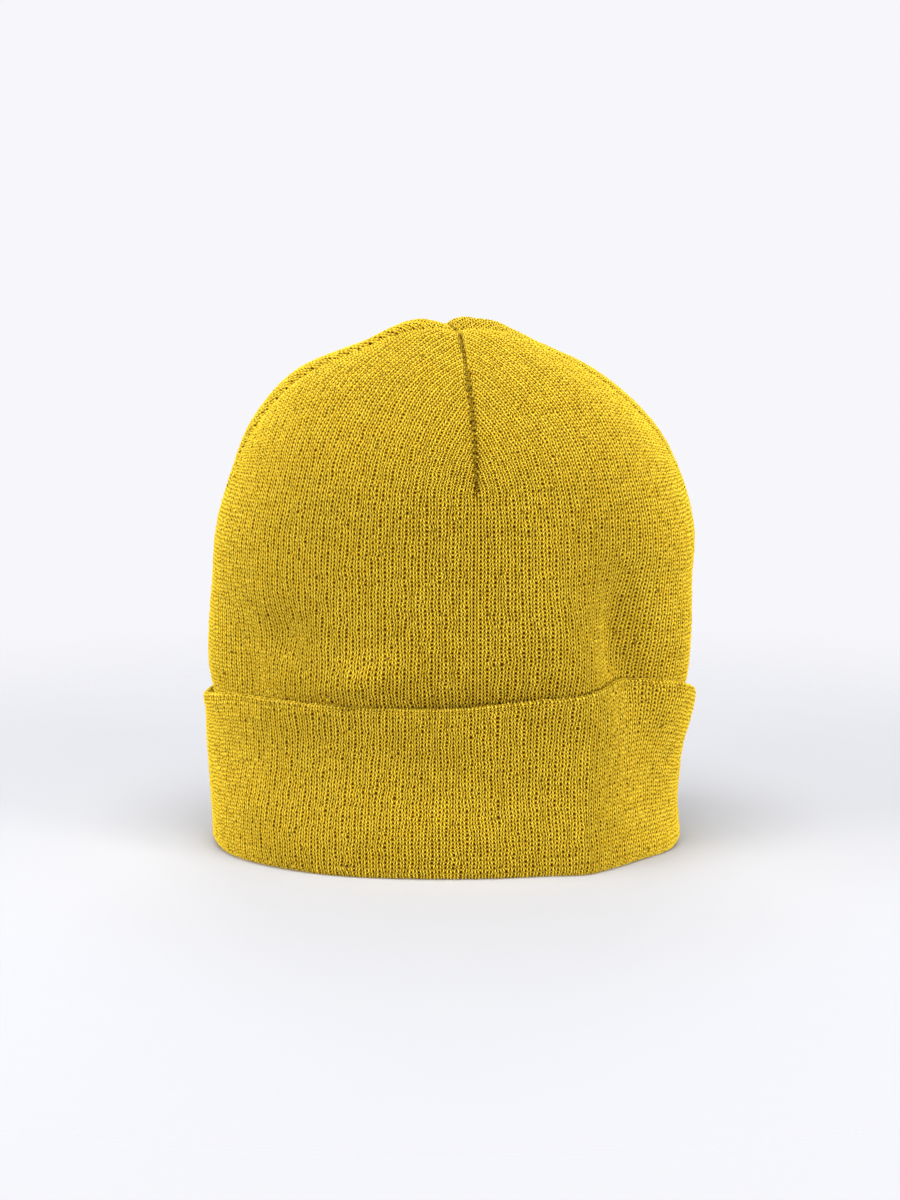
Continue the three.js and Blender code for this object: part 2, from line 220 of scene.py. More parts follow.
# A Gaussian across each dart, running from its start to near the junction
def creaseShare(angle, climb):
    index, share = goreAt(angle)
    away = np.minimum(share, 1 - share) * spans[index] / math.radians(form["creaseDegrees"])
    running = ease(climb, form["dartStart"], form["creaseFull"]) * (1 - ease(climb, form["creaseEnd"], 1))
    return running * np.exp(-away * away)


# Soft folds: Gaussians in angle and height that fade out at the cuff's edge
def foldAt(angle, height):
    sunk = 0
    for fold in folds:
        turn = np.mod(angle - math.radians(fold["degrees"]) + np.pi, 2 * np.pi) - np.pi
        aside = turn / math.radians(fold["spread"])
        above = (height - fold["height"]) / fold["tall"]
        clear = ease(height, edgeHeight(angle), edgeHeight(angle) + fold["tall"] / 2)
        sunk = sunk + fold["depth"] * clear * np.exp(-aside * aside - above * above)
    return sunk


# Drape: a sum of Gaussians in angle and height, each with its middle leaning sideways as it goes up
def drapeAt(angle, height, listed=drapes):
    moved = 0
    for drape in listed:
        above = height - drape["height"]
        middle = np.radians(drape["degrees"] + drape.get("lean", 0) * above)
        turn = np.mod(angle - middle + np.pi, 2 * np.pi) - np.pi
        aside = turn / math.radians(drape["spread"])
        moved = moved + drape["lift"] * np.exp(-aside * aside - (above / drape["tall"]) ** 2)
    return moved


# How far the crown stands off the plain skin: its swell and drape, less its creases and folds
def crownOffset(angle, climb, height):
    sunk = form["creaseDepth"] / 2 * creaseShare(angle, climb) + foldAt(angle, height)
    return swellAt(angle, climb) - sunk + drapeAt(angle, height, drapes + tuckIn)


# The same for the lining: a layer further in, looser above the cuff, its creases turned the other way
def liningOffset(angle, climb, height):
    loose = ease(climb, climbTo(form["cuffHeight"]), form["easeFull"])
    crease = form["liningCrease"] * creaseShare(angle, climb)
    moved = drapeAt(angle, height, drapes + tuckIn) - foldAt(angle, height)
    return liningPlace - (form["crownEase"] - form["layerGap"]) * loose + crease + moved


# Slow unevenness of hand: waves round and up the hat, none at the junction
unevenLook = {"waves": 14, "around": (2, 13), "upward": (6, 26), "size": (0.5, 1), "calmFrom": 0.9}
waves = [(
    rng.integers(*unevenLook["around"]), rng.uniform(*unevenLook["upward"]),
    rng.uniform(0, 2 * np.pi), rng.uniform(*unevenLook["size"]),
) for _ in range(unevenLook["waves"])]


# The sum of the waves' sines, over the square root of their number
def unevenness(angle, climb):
    total = 0
    for around, upward, phase, size in waves:
        total = total + size * np.sin(around * angle + upward * climb + phase)
    return total / math.sqrt(len(waves)) * (1 - ease(climb, unevenLook["calmFrom"], 1))


# A V stitch at wale and course coordinates: 1 on the crest of an arm, 0 in the holes between stitches
def stitchProfile(wales, courses):
    aside = np.abs(2 * np.mod(wales, 1) - 1)
    phase = np.mod(courses - stitch["slant"] * aside, 1)
    arm = stitch["armLow"] + (1 - stitch["armLow"]) * np.sin(np.pi * phase) ** stitch["armPower"]
    arch = np.clip(1 - ((aside - stitch["archMiddle"]) / stitch["archReach"]) ** 2, 0, 1)
    return arm * arch


# Every stitch strays a little from its place: random steps on the grid of stitches, eased between them
def strayAt(grid, wales, courses):
    rows = courses * stitch["jitterRows"]
    i = np.clip(np.floor(wales).astype(int), 0, grid.shape[0] - 2)
    j = np.clip(np.floor(rows).astype(int), 0, grid.shape[1] - 2)
    s, t = ease(wales - i, 0, 1)[..., None], ease(rows - j, 0, 1)[..., None]
    return mix(mix(grid[i, j], grid[i + 1, j], s), mix(grid[i, j + 1], grid[i + 1, j + 1], s), t)


# Whole columns of stitches wander sideways: sines with a beat for each course and each wale
def wanderAt(wales, courses, beats):
    return sum(np.sin(perCourse * courses + perWale * wales) for perCourse, perWale in beats)


# New object in the scene
def addObject(name, data):
    thing = bpy.data.objects.new(name, data)
    bpy.context.scene.collection.objects.link(thing)
    return thing


# Mesh object from points in millimetres, triangles and stitch coordinates, smooth all over
def makePiece(name, points, triangles, stitchUv, material, replaced):
    used, triangles = np.unique(triangles, return_inverse=True)
    triangles = triangles.reshape(-1, 3)
    points = (points[used] + np.array(form["footprintShift"])) * millimetre
    mesh = bpy.data.meshes.new(name)
    mesh.vertices.add(len(points))
    mesh.vertices.foreach_set("co", points.astype(np.float32).ravel())
    mesh.loops.add(triangles.size)
    mesh.loops.foreach_set("vertex_index", triangles.astype(np.int32).ravel())
    mesh.polygons.add(len(triangles))
    mesh.polygons.foreach_set("loop_start", np.arange(0, triangles.size, 3, dtype=np.int32))
    mesh.polygons.foreach_set("use_smooth", np.ones(len(triangles), bool))
    mesh.update(calc_edges=True)
    layer = mesh.uv_layers.new(name="stitches")
    layer.data.foreach_set("uv", stitchUv[used][triangles.ravel()].astype(np.float32).ravel())
    mesh.validate()
    mesh.materials.append(material)
    piece = addObject(name, mesh)
    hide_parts(*replaced)
    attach(piece, "root")
    print(name, len(triangles), "triangles")


# The triangles that haven't shrunk to a line
def wholeTriangles(cells):
    whole = (cells[:, 0] != cells[:, 1]) & (cells[:, 1] != cells[:, 2]) & (cells[:, 0] != cells[:, 2])
    return cells[whole]


# Two triangles for each cell of a grid of vertex numbers
def gridTriangles(numbers):
    a, b, c, d = numbers[:-1, :-1], numbers[:-1, 1:], numbers[1:, 1:], numbers[1:, :-1]
    halves = [np.stack(corners, -1).reshape(-1, 3) for corners in ([a, b, c], [a, c, d])]
    return wholeTriangles(np.concatenate(halves))


# Triangles between a fine row of vertices and a coarse one, each fine step tied to its nearest coarse vertex
def zipRows(fine, coarse):
    tied = np.arange(len(fine)) * (len(coarse) - 1) // (len(fine) - 1)
    first = np.stack([fine[:-1], fine[1:], coarse[tied[:-1]]], -1)
    moved = np.flatnonzero(tied[1:] > tied[:-1])
    second = np.stack([fine[moved + 1], coarse[tied[moved + 1]], coarse[tied[moved]]], -1)
    return wholeTriangles(np.concatenate([first, second]))


# Triangles of a capped tube, its rings listed from the bottom up and each anticlockwise seen from above
def tubeTriangles(rings, around):
    numbers = np.arange(rings * around).reshape(rings, around)
    closed = np.concatenate([numbers, numbers[:, :1]], 1)
    caps = [
        np.stack([np.full(around - 2, row[0]), row[1:-1], row[2:]], -1)
        for row in (closed[0][:0:-1], closed[-1][:-1])
    ]
    return np.concatenate([gridTriangles(closed)] + caps)


# Closed shell of a fine front face and a coarse back face that share rows
# Left and right give the columns where each fine row starts and ends
def closeShell(front, frontUv, back, left, right, isDomed):
    rows, columns = front.shape[:2]
    column = np.clip(np.arange(columns)[None, :], left[:, None], right[:, None])
    frontNumbers = np.arange(rows)[:, None] * columns + column
    backNumbers = rows * columns + np.arange(back.shape[0] * back.shape[1]).reshape(back.shape[:2])
    if isDomed:
        frontNumbers[-1] = frontNumbers[-1, columns // 2]
        backNumbers[-1] = backNumbers[-1, 0]
    each = np.arange(rows)
    leftEnds, rightEnds = frontNumbers[each, left], frontNumbers[each, right]
    triangles = [
        gridTriangles(frontNumbers),
        gridTriangles(backNumbers)[:, ::-1],
        gridTriangles(np.stack([backNumbers[:, 0], leftEnds], -1)),
        gridTriangles(np.stack([rightEnds, backNumbers[:, -1]], -1)),
        zipRows(frontNumbers[0], backNumbers[0])[:, ::-1],
    ]
    if not isDomed:
        triangles.append(zipRows(frontNumbers[-1], backNumbers[-1]))
    points = np.concatenate([front.reshape(-1, 3), back.reshape(-1, 3)])
    shares = np.linspace(0, 1, back.shape[1])[None, :, None]
    backUv = mix(frontUv[each, left][:, None], frontUv[each, right][:, None], shares)
    return points, np.concatenate(triangles), np.concatenate([frontUv.reshape(-1, 2), backUv.reshape(-1, 2)])


# How finely a gore is measured, and how its stitches are placed and fade in
goreLook = {
    "wallSteps": 150, "wallEnd": 0.9, "topSteps": 70, "columns": 97, "smoothing": 7,
    "mostTurn": 1.2, "turnLead": 0.02, "rounds": 16, "pace": 0.6, "beyond": 1e6, "pastTop": 3,
    "slantRise": 4, "reliefRise": 3, "tuckBefore": 0.03, "tuckAfter": 0.02, "tuckCalm": 0.985,
    "wanderRise": 6, "strayRise": 4, "beats": ((0.31, 1.9), (0.13, -2.7)),
}


# Lengths over a gore: up its middle, half its width, and how far its wales turn from its edge's meridian
# The turn is how fast the half width shrinks with the length, averaged over a few steps
def measureGore(index, offsetOf):
    wall = np.linspace(0, goreLook["wallEnd"], goreLook["wallSteps"])
    climbs = np.concatenate([wall, np.linspace(goreLook["wallEnd"], 1, goreLook["topSteps"])[1:]])
    shares = np.linspace(0, 1, goreLook["columns"])
    centre = goreLook["columns"] // 2
    angle = darts[index] + spans[index] * shares[None, :]
    middle, out, _ = knitFrame(angle, climbs[:, None])
    points = middle + out * offsetOf(angle, climbs[:, None], middle[..., 2])[..., None]
    arcs = np.cumsum(np.linalg.norm(np.diff(points, axis=1), axis=-1), axis=1)
    arcs = np.concatenate([np.zeros((len(climbs), 1)), arcs], 1)
    arcs[-1] = shares
    angleShares = np.array([np.interp(shares * arc[-1], arc, shares) for arc in arcs])
    half = arcs[:, -1] / 2
    half[-1] = 0
    up = np.concatenate([[0], np.cumsum(np.linalg.norm(np.diff(points[:, centre], axis=0), axis=-1))])
    height = middle[:, centre, 2]
    startUp, startHeight, startHalf = (np.interp(form["dartStart"], climbs, v) for v in (up, height, half))
    length = np.where(climbs < form["dartStart"], height, startHeight + up - startUp)
    wales = int(round(2 * startHalf / stitch["wale"]))
    smoothing = goreLook["smoothing"]
    narrowing = np.pad(-np.gradient(half, length), smoothing // 2, mode="edge")
    narrowing = np.convolve(narrowing, np.ones(smoothing) / smoothing, mode="valid")
    turnFrom, turnFull = (form[name] - goreLook["turnLead"] for name in ("dartStart", "creaseFull"))
    turn = np.clip(narrowing, 0, goreLook["mostTurn"]) * ease(climbs, turnFrom, turnFull)
    width = np.where(climbs < form["dartStart"], 2 * half / wales, 2 * startHalf / wales)
    return {
        "index": index, "climbs": climbs, "length": length, "half": half, "turn": turn,
        "width": width, "wales": wales, "angleShares": angleShares,
    }


# Angle at a climb and a share of the way along the ring, between the rows and columns of the gore's table
def angleAcross(gore, climb, share):
    table = gore["angleShares"]
    row = np.interp(climb, gore["climbs"], np.arange(len(gore["climbs"])))
    column = share * (table.shape[1] - 1)
    i = np.minimum(row.astype(int), table.shape[0] - 2)
    j = np.minimum(column.astype(int), table.shape[1] - 2)
    s, t = row - i, column - j
    low = mix(table[i, j], table[i, j + 1], t)
    high = mix(table[i + 1, j], table[i + 1, j + 1], t)
    return darts[gore["index"]] + spans[gore["index"]] * mix(low, high, s)


# Where stitches lie on a gore: its wales stay parallel, so near a dart they run at an angle into it
# Across is half sin(side turn) / turn, along is length + half (1 - cos(side turn)) / turn
# Both are solved together, step by step, for the side from -1 to 1 and the length
def placeStitches(gore, wales, courses):
    reach = np.broadcast_to(courses * stitch["course"], np.broadcast(wales, courses).shape)
    length = reach.copy()
    side = np.zeros(reach.shape)
    for _ in range(goreLook["rounds"]):
        half = np.interp(length, gore["length"], gore["half"])
        turn = np.interp(length, gore["length"], gore["turn"])
        width = np.interp(length, gore["length"], gore["width"])
        raw = wales * width / np.maximum(half * np.sinc(side * turn / np.pi), 1e-6)
        side = np.clip(raw, -1, 1)
        drop = half * (1 - np.cos(side * turn)) / np.maximum(turn, 1e-6)
        length = np.clip(mix(length, reach - drop, goreLook["pace"]), gore["length"][0], gore["length"][-1])
    climb = np.interp(length, gore["length"], gore["climbs"])
    waleAt = side * half * np.sinc(side * turn / np.pi) / width
    return side, raw, climb, waleAt


# Rows of a gore's stitches, the hidden ones plain and far apart, and the columns where they meet the darts
# Each vertex has its side, climb, wale and course, and knitted goes from 0 in the plain rows to 1
def stitchGrid(gore, look):
    wales = gore["wales"]
    columnWales = np.linspace(0, wales, wales * look["perWale"] + 1)
    topCourse = gore["length"][-1] / stitch["course"]
    plain = np.array([rollHeight + form["layerGap"], *look["plainHeights"]]) / stitch["course"]
    firstKnit = math.ceil(look["fromHeight"] / stitch["course"])
    fine = np.arange(firstKnit, topCourse, 1 / look["perCourse"])
    rowCourses = np.concatenate([plain, fine, [topCourse + goreLook["pastTop"]]])
    aside = np.abs(2 * np.mod(columnWales, 1) - 1)
    slantFrom = ease(rowCourses, plain[-1], fine[0] + goreLook["slantRise"])[:, None]
    courses = rowCourses[:, None] + stitch["slant"] * aside[None, :] * slantFrom
    side, raw, climb, waleAt = placeStitches(gore, columnWales[None, :] - wales / 2, courses)
    edgeCourses = rowCourses[:, None] + stitch["slant"] * slantFrom
    beyond = np.array([[-goreLook["beyond"], goreLook["beyond"]]])
    _, _, edgeClimb, edgeWale = placeStitches(gore, beyond, edgeCourses)
    middle = len(columnWales) // 2
    edge = 1 - 1e-9
    left = np.array([np.flatnonzero(row[:middle + 1] <= -edge).max(initial=0) for row in raw])
    right = np.array([middle + np.flatnonzero(row[middle:] >= edge).min(initial=middle) for row in raw])
    right = np.minimum(right, len(columnWales) - 1)
    each = np.arange(len(rowCourses))
    for k, column in enumerate((left, right)):
        side[each, column] = (-1, 1)[k]
        climb[each, column] = edgeClimb[:, k]
        waleAt[each, column] = edgeWale[:, k]
        courses[each, column] = edgeCourses[:, 0]
    climb[-1] = 1
    return {
        "side": side, "climb": climb, "wales": waleAt + wales / 2, "courses": courses,
        "left": left, "right": right, "edgeClimb": climb[each, left], "topCourse": topCourse,
        "knitted": ease(rowCourses, plain[-1], fine[0] + goreLook["reliefRise"])[:, None],
    }


# Knitted face of a gore: the layer's face plus the stitches' relief, less a Gaussian tuck beside each dart
# The tuck is wide in one course and narrow in the next, so that its line zigzags
def goreFront(gore, grid, offsetOf, look):
    side, climb, wales, courses, knitted = (
        grid[name] for name in ("side", "climb", "wales", "courses", "knitted")
    )
    angle = angleAcross(gore, climb, (side + 1) / 2)
    point, out, up = knitFrame(angle, climb)
    inward = (1 - np.abs(side)) * np.interp(climb, gore["climbs"], gore["half"])
    tuckFrom, tuckFull = form["dartStart"] - goreLook["tuckBefore"], form["dartStart"] + goreLook["tuckAfter"]
    tuckWidth = look["tuckWidth"] * (1 + look["zigzag"] * np.sin(np.pi * courses) * np.sign(side))
    tuck = look["tuck"] * ease(climb, tuckFrom, tuckFull) * np.exp(-(inward / tuckWidth) ** 2)
    tuck = tuck * (1 - ease(climb, goreLook["tuckCalm"], 1))
    count = (gore["wales"] + 2, int(grid["topCourse"]) + 8)
    i, j = (np.clip(v.astype(int), 0, last - 1) for v, last in zip((wales, courses), count))
    tall = rng.uniform(*stitch["tall"], count)[i, j]
    relief = look["relief"] * knitted * (tall * stitchProfile(wales, courses) - 0.5)
    offset = offsetOf(angle, climb, point[..., 2]) + look["face"] * (halfKnit + relief - tuck)
    offset = offset + look["uneven"] * unevenness(angle, climb)
    wander = stitch["wander"] * ease(inward, 0, goreLook["wanderRise"])
    wander = wander * wanderAt(wales, courses, goreLook["beats"])
    stray = strayAt(rng.normal(0, stitch["jitter"], (*count, 2)), wales, courses)
    stray = stray * (ease(inward, 0, goreLook["strayRise"]) * knitted)[..., None]
    sideways = np.cross(up, out)
    front = point + out * offset[..., None] + sideways * (wander + stray[..., 0])[..., None]
    return front + up * stray[..., 1][..., None], np.stack([wales, courses], -1)


# Plain face of a gore, half a thickness to the other side
def goreBack(gore, grid, offsetOf, look):
    climb = np.repeat(grid["edgeClimb"][:, None], look["backColumns"] + 1, axis=1)
    shares = np.linspace(0, 1, look["backColumns"] + 1)[None, :]
    angle = angleAcross(gore, climb, np.broadcast_to(shares, climb.shape))
    point, out, _ = knitFrame(angle, climb)
    offset = offsetOf(angle, climb, point[..., 2]) - look["face"] * halfKnit
    return point + out * offset[..., None]


# One gore of a layer as a closed shell, its right side knitted
def goreShell(index, offsetOf, look):
    gore = measureGore(index, offsetOf)
    grid = stitchGrid(gore, look)
    front, frontUv = goreFront(gore, grid, offsetOf, look)
    back = goreBack(gore, grid, offsetOf, look)
    points, triangles, uv = closeShell(front, frontUv, back, grid["left"], grid["right"], True)
    return points, triangles if look["face"] > 0 else triangles[:, ::-1], uv


# A new node with its settings; each input is linked from a socket or set to a value, and None leaves it alone
def wire(tree, kind, *values, **settings):
    node = tree.nodes.new(kind)
    for name, value in settings.items():
        setattr(node, name, value)
    for socket, value in zip(node.inputs, values):
        if isinstance(value, bpy.types.NodeSocket):
            tree.links.new(value, socket)
        elif value is not None:
            socket.default_value = value
    return node


# Result of a math node
def maths(tree, operation, *values):
    return wire(tree, "ShaderNodeMath", *values, operation=operation).outputs[0]


# 0 to 1 as the value goes from one number to another, eased
def easeNode(tree, value, start, end):
    node = wire(tree, "ShaderNodeMapRange", value, start, end, 0.0, 1.0, interpolation_type="SMOOTHSTEP")
    return node.outputs[0]


# Noise from 0 to 1 at a place
def noiseNode(tree, place, scale, detail, roughness):
    return wire(tree, "ShaderNodeTexNoise", place, None, scale, detail, roughness).outputs[0]


# Random number from 0 to 1 for each cell of one by one, and for each seed
def chanceNode(tree, across, along, seed):
    corner = [maths(tree, "FLOOR", value) for value in (across, along)]
    cell = wire(tree, "ShaderNodeCombineXYZ", *corner, seed)
    return wire(tree, "ShaderNodeTexWhiteNoise", cell.outputs[0], noise_dimensions="3D").outputs["Value"]


# Blend from one colour to another by a share; each is a socket or a plain colour
def mixNode(tree, share, first, second):
    node = wire(tree, "ShaderNodeMix", data_type="RGBA")
    tree.links.new(share, node.inputs["Factor"])
    for socket, colour in ((node.inputs[6], first), (node.inputs[7], second)):
        if isinstance(colour, bpy.types.NodeSocket):
            tree.links.new(colour, socket)
        else:
            socket.default_value = (*colour, 1)
    return node.outputs[2]


# Fine relief from a height, into the shader's normal
def addBump(tree, shader, height, strength, distance):
    bump = tree.nodes.new("ShaderNodeBump")
    bump.inputs["Strength"].default_value = strength
    bump.inputs["Distance"].default_value = distance
    tree.links.new(height, bump.inputs["Height"])
    tree.links.new(bump.outputs[0], shader.inputs["Normal"])


# A new material, its node tree, its shader and the object's own coordinates
def newMaterial(name, roughness, specular):
    material = bpy.data.materials.new(name)
    material.use_nodes = True
    tree = material.node_tree
    shader = tree.nodes["Principled BSDF"]
    shader.inputs["Roughness"].default_value = roughness
    shader.inputs["Specular IOR Level"].default_value = specular
    return material, tree, shader, tree.nodes.new("ShaderNodeTexCoord").outputs["Object"]


# Sizes in wales and courses of the holes, slits and grooves of a stitch, where each mask starts and ends, and
# its depth, which sets both the bump and the strength of the painted shade there
stitchLook = {
    "centreHole": (0.225, 0.42), "sideHole": (0.17, 0.43), "holeVary": 0.25, "holeEdge": (1.35, 0.45),
    "slitEdge": (0.3, 0.95), "grooveEdge": (0.65, 1.0), "spineEdge": (0.3, 0.0),
    "centreDepth": 1.0, "sideDepth": 0.85, "slitDepth": 0.8, "grooveDepth": 0.4, "spineDepth": 0.15,
    "fibreAcross": 3.0, "fibreAlong": 9.0, "fibreScale": 2.0, "fibreDetail": 3.0, "fibreLift": 0.35,
}


# A hole at the middle of its cell of one wale by one course, darkened later with painted shade: 1 inside, 0
# outside a soft ellipse
# It grows and shrinks from stitch to stitch with a random number of its cell
def holeMask(tree, wales, courses, size):
    vary = stitchLook["holeVary"]
    grow = maths(tree, "MULTIPLY_ADD", chanceNode(tree, wales, courses, size[0]), vary, 1 - vary / 2)
    squares = []
    for value, reach in zip((wales, courses), size):
        away = maths(tree, "DIVIDE", maths(tree, "SUBTRACT", maths(tree, "FRACT", value), 0.5), reach)
        squares.append(maths(tree, "MULTIPLY", away, away))
    away = maths(tree, "DIVIDE", maths(tree, "SQRT", maths(tree, "ADD", *squares)), grow)
    return easeNode(tree, away, *stitchLook["holeEdge"])


# Masks of the V stitch from wale and course coordinates: how deep a place lies, which is painted into the
# colour as shade, its height for the bump and its own tone
# Holes lie between a V's arms, smaller ones between two wales half a course higher, and slits join them
# A groove runs between two wales and a faint spine up the middle of each, and fibres run along the arms
def stitchGroup():
    tree = bpy.data.node_groups.new("knitStitch", "ShaderNodeTree")
    tree.interface.new_socket("Stitches", in_out="INPUT", socket_type="NodeSocketVector")
    for name in ("Depth", "Height", "Tone", "Fibre"):
        tree.interface.new_socket(name, in_out="OUTPUT", socket_type="NodeSocketFloat")
    entry = tree.nodes.new("NodeGroupInput").outputs[0]
    leave = tree.nodes.new("NodeGroupOutput")
    parts = wire(tree, "ShaderNodeSeparateXYZ", entry)
    wales, courses = parts.outputs[0], parts.outputs[1]
    aside = maths(tree, "ABSOLUTE", maths(tree, "MULTIPLY_ADD", maths(tree, "FRACT", wales), 2.0, -1.0))
    slid = maths(tree, "MULTIPLY_ADD", aside, -stitch["slant"], courses)
    fromCrest = maths(tree, "ABSOLUTE", maths(tree, "MULTIPLY_ADD", maths(tree, "FRACT", slid), 2.0, -1.0))
    halfUp, halfOver = maths(tree, "ADD", courses, 0.5), maths(tree, "ADD", wales, 0.5)
    masks = {
        "centre": holeMask(tree, wales, halfUp, stitchLook["centreHole"]),
        "side": holeMask(tree, halfOver, courses, stitchLook["sideHole"]),
        "slit": easeNode(tree, fromCrest, *stitchLook["slitEdge"]),
        "groove": easeNode(tree, aside, *stitchLook["grooveEdge"]),
        "spine": easeNode(tree, aside, *stitchLook["spineEdge"]),
    }
    bare = 1.0
    for name, mask in masks.items():
        kept = maths(tree, "MULTIPLY_ADD", mask, -stitchLook[name + "Depth"], 1.0)
        bare = maths(tree, "MULTIPLY", kept, bare)
    # Depth is painted shade: how much the colour darkens in holes, slits, grooves and spines, where the light
    # falls off
    depth = maths(tree, "SUBTRACT", 1.0, bare)
    tone = chanceNode(tree, wales, slid, 0.0)
    across = maths(tree, "MULTIPLY", aside, stitchLook["fibreAcross"])
    along = maths(tree, "MULTIPLY", slid, stitchLook["fibreAlong"])
    place = wire(tree, "ShaderNodeCombineXYZ", across, along, wales).outputs[0]
    fibre = noiseNode(tree, place, stitchLook["fibreScale"], stitchLook["fibreDetail"], 0.6)
    lift = maths(tree, "MULTIPLY_ADD", fibre, stitchLook["fibreLift"], bare)
    for socket, value in zip(leave.inputs, (depth, lift, tone, fibre)):
        tree.links.new(value, socket)
    return tree


stitchNodes = stitchGroup()


# Matt knit: yarn colour with painted shade, darker and browner in the holes, slits and grooves, and with tone
# from stitch to stitch and slow patches
def knitMaterial(name, look):
    material, tree, shader, place = newMaterial(name, look["roughness"], look["specular"])
    uv = wire(tree, "ShaderNodeUVMap", uv_map="stitches").outputs[0]
    stitches = wire(tree, "ShaderNodeGroup", uv, node_tree=stitchNodes).outputs
    patch = noiseNode(tree, place, look["patchScale"], 2.0, 0.5)
    varied = {"stitchVary": stitches["Tone"], "patchVary": patch, "fibreVary": stitches["Fibre"]}
    share = 0.5
    for name, value in varied.items():
        share = maths(tree, "ADD", share, maths(tree, "MULTIPLY_ADD", value, look[name], -look[name] / 2))
    yarn = mixNode(tree, share, look["darkYarn"], look["lightYarn"])
    # Painted shade: the yarn colour darkens by the Depth mask toward the dark brown of the holes
    tree.links.new(mixNode(tree, stitches["Depth"], yarn, look["holeShade"]), shader.inputs["Base Color"])
    addBump(tree, shader, stitches["Height"], look["bump"], look["bumpDistance"])
    shader.inputs["Sheen Weight"].default_value = look["sheen"]
    shader.inputs["Sheen Roughness"].default_value = look["sheenRoughness"]
    shader.inputs["Sheen Tint"].default_value = (*look["sheenTint"], 1)
    return material


# The darkest colour of each knit below is painted shade for the holes, slits and grooves between stitches
outerKnit = knitMaterial("outerKnit", {
    "lightYarn": (0.86, 0.685, 0.07), "darkYarn": (0.77, 0.45, 0), "holeShade": (0.06, 0.018, 0),
    "stitchVary": 0.2, "patchVary": 0.12, "fibreVary": 0.9, "patchScale": 28.0,
    "bump": 0.5, "bumpDistance": 0.0004, "roughness": 0.9, "specular": 0.03,
    "sheen": 0.18, "sheenRoughness": 0.45, "sheenTint": (1, 0.82, 0.15),
})
innerKnit = knitMaterial("innerKnit", {
    "lightYarn": (0.88, 0.59, 0.04), "darkYarn": (0.74, 0.46, 0.012), "holeShade": (0.12, 0.04, 0.0005),
    "stitchVary": 0.15, "patchVary": 0.12, "fibreVary": 0.9, "patchScale": 28.0,
    "bump": 0.9, "bumpDistance": 0.0007, "roughness": 0.9, "specular": 0.15,
    "sheen": 0.12, "sheenRoughness": 0.45, "sheenTint": (1, 0.86, 0.42),
})

# The outer layer, one shell for each gore between its darts
crownLook = {
    "perWale": 4, "perCourse": 3, "plainHeights": [20, 36, 49], "fromHeight": 52,
    "relief": stitch["relief"], "face": 1, "tuck": 3.4, "tuckWidth": 0.9, "zigzag": 0.6,
    "uneven": 0.3, "backColumns": 16,
}
for index, name in enumerate(["crownBackRight", "crownBackLeft", "crownFrontLeft", "crownFrontRight"]):
    points, triangles, uv = goreShell(index, crownOffset, crownLook)
    makePiece(name, points, triangles, uv, outerKnit, ["crown_shell"])
print("crown done")

# The turned-up cuff, two shells that meet in a groove at each side; its face draws back a little at the fold
cuffLook = {
    "wales": 214, "perWale": 4, "perCourse": 3, "courses": 51, "backColumns": 60, "ringSteps": 1440,
    "uneven": 0.3, "unevenTurn": 2, "unevenClimb": 0.85,
    "bendBack": 0.9, "bendPlace": 2.1, "bendShare": 0.2,
    "sideRise": 3, "slantRise": 3, "strayRise": (3, 7), "beats": ((0.29, 2.1), (0.11, -1.7)),
}


# Point on the cuff's turned-up face: 0 to 1 round the hem roll, 1 to 2 up the wall, 2 to 3 over the top fold
def cuffPoint(angle, place, proud):
    angle, place = np.broadcast_arrays(angle, place)
    height = mix(rollHeight, edgeHeight(angle) - foldRadius - halfKnit, np.clip(place - 1, 0, 1))
    point, out, up = knitFrame(angle, climbTo(height))
    isHem = (place <= 1)[..., None]
    out = np.where(isHem, unit(out * [1, 1, 0]), out)
    up = np.where(isHem, [0, 0, 1], up)
    point = np.where(isHem, point * [1, 1, 0] + [0, 0, rollHeight], point)
    turn = np.where(place <= 1, np.pi * (place - 1), np.pi * np.clip(place - 2, 0, 1))
    radius = np.where(place <= 1, hemRadius, foldRadius)
    offset = cuffFacePlace - radius + (radius + proud) * np.cos(turn) + drapeAt(angle, point[..., 2])
    lift = (radius + proud) * np.sin(turn)
    placed = point + out * offset[..., None] + up * lift[..., None]
    return placed, np.cross(up, out), out * np.cos(turn)[..., None] + up * np.sin(turn)[..., None]


ring = np.linspace(0, 2 * np.pi, cuffLook["ringSteps"] + 1)
ringPoints = cuffPoint(ring, np.full(ring.shape, 1.5), halfKnit)[0]
ringLength = np.concatenate([[0], np.cumsum(np.linalg.norm(np.diff(ringPoints, axis=0), axis=-1))])
rollCourses = math.pi * (hemRadius + halfKnit) / stitch["course"]
foldCourses = math.pi * (foldRadius + halfKnit) / stitch["course"]


# Courses go evenly round the roll, up the wall and over the fold
def cuffPlace(courses):
    wallEnd = cuffLook["courses"] - foldCourses
    return np.interp(courses, [0, rollCourses, wallEnd, cuffLook["courses"]], [0, 1, 2, 3])


# Wales go evenly along the ring at the middle of the wall
def cuffAngle(wales):
    return np.interp(wales / cuffLook["wales"], ringLength / ringLength[-1], ring)


